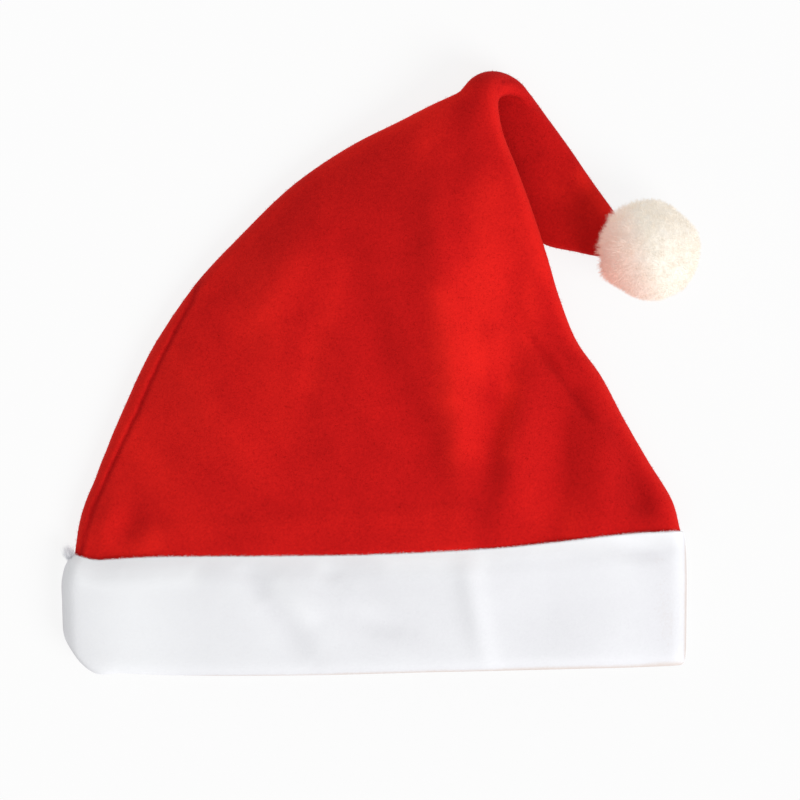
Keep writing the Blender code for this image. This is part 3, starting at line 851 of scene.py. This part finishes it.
def make_nap(name, points, painted_shade, nap, fuzz=None):
    """Short fibres that stand and lean all over the outside of a cloth tube, and any fuzz besides.

    fuzz holds the roots and the tips of more fibres, and how light or dark they are.
    """
    random = np.random.default_rng(nap.seed)
    fibres = nap.fibres
    around = np.roll(points, -1, axis=1)
    quad = np.cross(points[1:] - points[:-1], around[:-1] - points[:-1])
    area = np.linalg.norm(quad, axis=-1)
    chosen = random.choice(area.size, fibres, p=(area / area.sum()).ravel())
    row, column = np.unravel_index(chosen, area.shape)
    u = random.random((fibres, 1))
    v = random.random((fibres, 1))
    roots = (
        points[row, column] * (1 - u) * (1 - v) + points[row + 1, column] * u * (1 - v)
        + around[row, column] * (1 - u) * v + around[row + 1, column] * u * v)
    outward = quad[row, column] / area[row, column][:, None]
    lean = random.normal(size=(fibres, 3))
    lean -= outward * np.sum(lean * outward, axis=1)[:, None]
    lean /= np.linalg.norm(lean, axis=1)[:, None]
    stand = random.uniform(*NAP_STANDS, (fibres, 1))
    reach = nap.length * random.uniform(*NAP_LENGTHS, (fibres, 1))
    tips = roots + reach * (outward * stand + lean * np.sqrt(1 - stand**2))
    roots = roots - outward * NAP_WIDTH
    # Each fibre takes the painted highlight or shade of the cloth at its root, with a little random
    # tone
    shade = painted_shade[row, column] + random.normal(scale=NAP_SHADES, size=fibres)
    if fuzz:
        roots = np.concatenate([roots, fuzz[0]])
        tips = np.concatenate([tips, fuzz[1]])
        shade = np.concatenate([shade, fuzz[2]])
        upward = np.broadcast_to((0.0, 0.0, 1.0), fuzz[0].shape)
        outward = np.concatenate([outward, upward])
        reach = np.concatenate([reach, np.linalg.norm(fuzz[1] - fuzz[0], axis=1)[:, None]])
    bend = outward * reach * NAP_BEND
    made = make_fibres(name, roots, tips, bend, outward, NAP_WIDTH, NAP_TAPER, random)
    shade = np.repeat(shade, 2 * len(NAP_TAPER))
    made.data.attributes.new("nap", "FLOAT", "POINT")
    made.data.attributes["nap"].data.foreach_set("value", shade.astype(np.float32))
    return made


def direction(turn, rise):
    """The direction at a turn from +X towards +Y and a rise above the floor, in degrees."""
    turn = math.radians(turn)
    rise = math.radians(rise)
    level = math.cos(rise)
    return math.cos(turn) * level, math.sin(turn) * level, math.sin(rise)


def spread_directions(count):
    """Directions spread evenly over a ball."""
    number = np.arange(count) + 0.5
    z = 1 - 2 * number / count
    turn = number * math.pi * (3 - math.sqrt(5))
    level = np.sqrt(1 - z * z)
    return np.stack([level * np.cos(turn), level * np.sin(turn), z], axis=1)


def clipped_ball(directions):
    """How far the pompom reaches in each direction, as a share of its radius."""
    reach = 1 + unevenness(directions, BALL_LUMP_SIZE, BALL_LUMP_HEIGHT, BALL_LUMP_SEED)
    for bulge in POMPOM_BULGES:
        middle = np.array(direction(bulge.turn, bulge.rise))
        away = np.degrees(np.arccos(np.clip(directions @ middle, -1, 1)))
        reach += bulge.height * np.exp(-(away / bulge.spread) ** 2)
    return reach


def make_pompom(pile):
    random = np.random.default_rng(POMPOM_SEED)
    deselect_all()
    bpy.ops.mesh.primitive_ico_sphere_add(subdivisions=5, radius=1.0)
    core = bpy.context.object
    core.name = "pompom_core"
    points = np.empty(len(core.data.vertices) * 3, np.float32)
    core.data.vertices.foreach_get("co", points)
    points = points.reshape(-1, 3).astype(float)
    points /= np.linalg.norm(points, axis=1)[:, None]
    tufts = spread_directions(TUFTS)
    tufts += random.normal(scale=TUFT_STRAY, size=tufts.shape)
    tufts /= np.linalg.norm(tufts, axis=1)[:, None]
    near = np.max(points @ tufts.T, axis=1)
    lumps = CORE_LUMP * np.clip((near - CORE_LUMP_MIDDLE) / CORE_LUMP_RANGE, -1, 1)
    reach = PILE_CORE * clipped_ball(points) + lumps
    points = POMPOM_CENTRE + points * (POMPOM_RADIUS * reach)[:, None]
    core.data.vertices.foreach_set("co", points.astype(np.float32).ravel())
    core.data.update()
    bpy.ops.object.shade_smooth()
    core.data.materials.append(pile)

    directions = spread_directions(PILE_FIBRES)
    directions += random.normal(scale=PILE_STRAY, size=directions.shape)
    directions /= np.linalg.norm(directions, axis=1)[:, None]
    nearest = np.argmax(directions @ tufts.T, axis=1)
    tuft_length = 1 - TUFT_TRIM * random.random(TUFTS)
    lock_turn = math.radians(LOCK_TURN)
    at_tail = tufts @ np.array((math.cos(lock_turn), math.sin(lock_turn), LOCK_RISE))
    at_tail = np.clip((at_tail - 1 + LOCK_SPREAD) / LOCK_SPREAD, 0, 1)
    tuft_length += LOCK_LENGTH * at_tail * random.uniform(*LOCK_LENGTHS, TUFTS)
    gathers = random.uniform(*TUFT_GATHERS, PILE_FIBRES)[:, None]
    gathered = directions + (tufts[nearest] - directions) * gathers
    combed = random.normal(scale=TUFT_COMBED, size=(TUFTS, 3))
    gathered += combed[nearest] + random.normal(scale=PILE_LOOSE, size=gathered.shape)
    gathered /= np.linalg.norm(gathered, axis=1)[:, None]
    ragged = random.uniform(PILE_LENGTHS[0] - LOCK_RAGGED * at_tail[nearest], PILE_LENGTHS[1])
    length = tuft_length[nearest] * ragged * clipped_ball(gathered)
    root_reach = PILE_ROOT * clipped_ball(directions)
    roots = POMPOM_CENTRE + directions * (POMPOM_RADIUS * root_reach)[:, None]
    tips = POMPOM_CENTRE + gathered * (POMPOM_RADIUS * length)[:, None]
    bend = directions * PILE_BEND + random.normal(scale=PILE_CRIMP, size=roots.shape)
    fibres = make_fibres(
        "pompom_pile", roots, tips, bend, directions, PILE_WIDTH, PILE_TAPER, random)
    fibres.data.materials.append(pile)
    for piece in (core, fibres):
        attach(piece, "root")
        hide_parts("pompom")


def fleece_material(name, finish):
    """Fleece: a fine matted nap with flecks, darker in places by painted shade and wear, and
    lighter by painted highlights.
    """
    material = bpy.data.materials.new(name)
    material.use_nodes = True
    nodes = material.node_tree.nodes
    links = material.node_tree.links
    shader = nodes["Principled BSDF"]
    shader.inputs["Roughness"].default_value = 0.95
    shader.inputs["Sheen Weight"].default_value = finish.sheen
    shader.inputs["Sheen Roughness"].default_value = 0.45
    shader.inputs["Sheen Tint"].default_value = (*finish.sheen_tint, 1.0)
    shader.inputs["Specular IOR Level"].default_value = 0.1
    place = nodes.new("ShaderNodeTexCoord")

    def cloth_noise(scale, detail, distortion):
        texture = nodes.new("ShaderNodeTexNoise")
        texture.inputs["Scale"].default_value = scale
        texture.inputs["Detail"].default_value = detail
        texture.inputs["Roughness"].default_value = 0.5
        texture.inputs["Distortion"].default_value = distortion
        links.new(place.outputs["Object"], texture.inputs["Vector"])
        return texture.outputs["Fac"]

    def add_weighted(level, share, weight):
        joined = nodes.new("ShaderNodeMath")
        joined.operation = "MULTIPLY_ADD"
        links.new(share, joined.inputs[0])
        joined.inputs[1].default_value = weight
        links.new(level, joined.inputs[2])
        return joined.outputs[0]

    nap = cloth_noise(finish.nap_scale, detail=2.0, distortion=0.6)
    cloud = cloth_noise(CLOUD_SCALE, detail=3.0, distortion=0.0)
    fleck_noise = cloth_noise(finish.nap_scale * FLECK_SCALE, detail=1.0, distortion=1.2)
    fleck = nodes.new("ShaderNodeMapRange")
    fleck.inputs["From Min"].default_value = FLECK_RANGE[0]
    fleck.inputs["From Max"].default_value = FLECK_RANGE[1]
    fleck.inputs["To Min"].default_value = -finish.fleck
    fleck.inputs["To Max"].default_value = 0.0
    links.new(fleck_noise, fleck.inputs["Value"])
    # The nap attribute brings the painted shade and highlights into the colour
    painted_shade = nodes.new("ShaderNodeAttribute")
    painted_shade.attribute_name = "nap"
    level = add_weighted(painted_shade.outputs["Fac"], nap, finish.mottle)
    level = add_weighted(level, cloud, finish.cloud)
    level = add_weighted(level, fleck.outputs["Result"], 1.0)
    ramp = nodes.new("ShaderNodeValToRGB")
    middle = 0.5 * (finish.mottle + finish.cloud)
    elements = ramp.color_ramp.elements
    while len(elements) < len(finish.colours):
        elements.new(1.0)
    for element, stop, colour in zip(elements, RAMP_STOPS, finish.colours):
        element.position = middle + stop + RAMP_OFFSET
        element.color = (*colour, 1.0)
    shifted = nodes.new("ShaderNodeMath")
    shifted.operation = "ADD"
    shifted.inputs[1].default_value = RAMP_OFFSET
    links.new(level, shifted.inputs[0])
    links.new(shifted.outputs[0], ramp.inputs["Fac"])
    links.new(ramp.outputs["Color"], shader.inputs["Base Color"])
    bump = nodes.new("ShaderNodeBump")
    bump.inputs["Strength"].default_value = finish.bump
    bump.inputs["Distance"].default_value = NAP_RELIEF
    links.new(nap, bump.inputs["Height"])
    links.new(bump.outputs["Normal"], shader.inputs["Normal"])
    return material


def pile_material():
    """Soft pile in two close tones of cream, with a painted red reflection towards the tail and a
    painted glow.
    """
    material = bpy.data.materials.new("cream_pile")
    material.use_nodes = True
    nodes = material.node_tree.nodes
    links = material.node_tree.links
    shader = nodes["Principled BSDF"]
    shader.inputs["Roughness"].default_value = 1.0
    shader.inputs["Sheen Weight"].default_value = 0.25
    shader.inputs["Specular IOR Level"].default_value = 0.1
    # A painted glow: the pile gives off a little light of its own, lifting its shading
    shader.inputs["Emission Color"].default_value = (*PILE_PAINTED_GLOW_COLOUR, 1.0)
    shader.inputs["Emission Strength"].default_value = PILE_PAINTED_GLOW
    place = nodes.new("ShaderNodeTexCoord")
    nap = nodes.new("ShaderNodeTexNoise")
    nap.inputs["Scale"].default_value = 260.0
    nap.inputs["Detail"].default_value = 3.0
    links.new(place.outputs["Object"], nap.inputs["Vector"])
    ramp = nodes.new("ShaderNodeValToRGB")
    for element, stop, colour in zip(ramp.color_ramp.elements, PILE_STOPS, PILE_COLOURS):
        element.position = stop
        element.color = (*colour, 1.0)
    links.new(nap.outputs["Fac"], ramp.inputs["Fac"])
    # A painted red reflection of the tail on the pile's side towards it
    towards_tail = nodes.new("ShaderNodeMapping")
    towards_tail.vector_type = "TEXTURE"
    towards_tail.inputs["Location"].default_value = PAINTED_REFLECTION_CENTRE
    towards_tail.inputs["Scale"].default_value = (PAINTED_REFLECTION_RADIUS, PAINTED_REFLECTION_RADIUS, PAINTED_REFLECTION_RADIUS)
    links.new(place.outputs["Object"], towards_tail.inputs["Vector"])
    painted_reflection = nodes.new("ShaderNodeTexGradient")
    painted_reflection.gradient_type = "SPHERICAL"
    links.new(towards_tail.outputs["Vector"], painted_reflection.inputs["Vector"])
    mix = nodes.new("ShaderNodeMix")
    mix.data_type = "RGBA"
    mix.inputs["B"].default_value = (*PAINTED_REFLECTION_COLOUR, 1.0)
    links.new(painted_reflection.outputs["Fac"], mix.inputs["Factor"])
    links.new(ramp.outputs["Color"], mix.inputs["A"])
    links.new(mix.outputs["Result"], shader.inputs["Base Color"])
    return material


def make_studio():
    """A pale floor that glows as if lit from below, a soft key light and an even white surround."""
    deselect_all()
    bpy.ops.mesh.primitive_plane_add(size=FLOOR_SIZE, location=(0, 0, 0))
    floor = bpy.context.object
    floor.name = "pale_floor"
    material = bpy.data.materials.new("pale_floor")
    material.use_nodes = True
    shader = material.node_tree.nodes["Principled BSDF"]
    shader.inputs["Base Color"].default_value = (FLOOR_COLOUR, FLOOR_COLOUR, FLOOR_COLOUR, 1.0)
    shader.inputs["Roughness"].default_value = 1.0
    shader.inputs["Emission Color"].default_value = (1.0, 1.0, 1.0, 1.0)
    shader.inputs["Emission Strength"].default_value = FLOOR_GLOW
    shader.inputs["Specular IOR Level"].default_value = 0.0
    floor.data.materials.append(material)

    world = bpy.data.worlds.new("surround")
    bpy.context.scene.world = world
    world.use_nodes = True
    background = world.node_tree.nodes["Background"]
    background.inputs["Color"].default_value = (1.0, 1.0, 1.0, 1.0)
    background.inputs["Strength"].default_value = SURROUND_STRENGTH

    light = bpy.data.lights.new("soft_key", "SUN")
    light.energy = KEY_STRENGTH
    light.angle = math.radians(KEY_SPREAD)
    key = bpy.data.objects.new("soft_key", light)
    bpy.context.scene.collection.objects.link(key)
    towards = Vector(direction(KEY_TURN, KEY_RISE))
    key.location = towards * KEY_DISTANCE
    key.rotation_euler = (-towards).to_track_quat("-Z", "Y").to_euler()


def make_camera():
    data = bpy.data.cameras.new("camera")
    data.sensor_width = SENSOR_WIDTH
    data.lens = SENSOR_WIDTH * CAMERA_DISTANCE / FRAME_WIDTH
    data.clip_end = 30.0
    camera = bpy.data.objects.new("camera", data)
    bpy.context.scene.collection.objects.link(camera)
    camera.location = (*CAMERA_PLACE, CAMERA_DISTANCE + CAMERA_AIM_HEIGHT)
    bpy.context.scene.camera = camera


def main():
    bpy.context.scene.view_settings.view_transform = "Standard"
    red = fleece_material("red_fleece", RED_FLEECE)
    white = fleece_material("white_fleece", WHITE_FLEECE)
    make_crown(red)
    make_band(white)
    make_pompom(pile_material())
    make_camera()
    make_studio()


main()
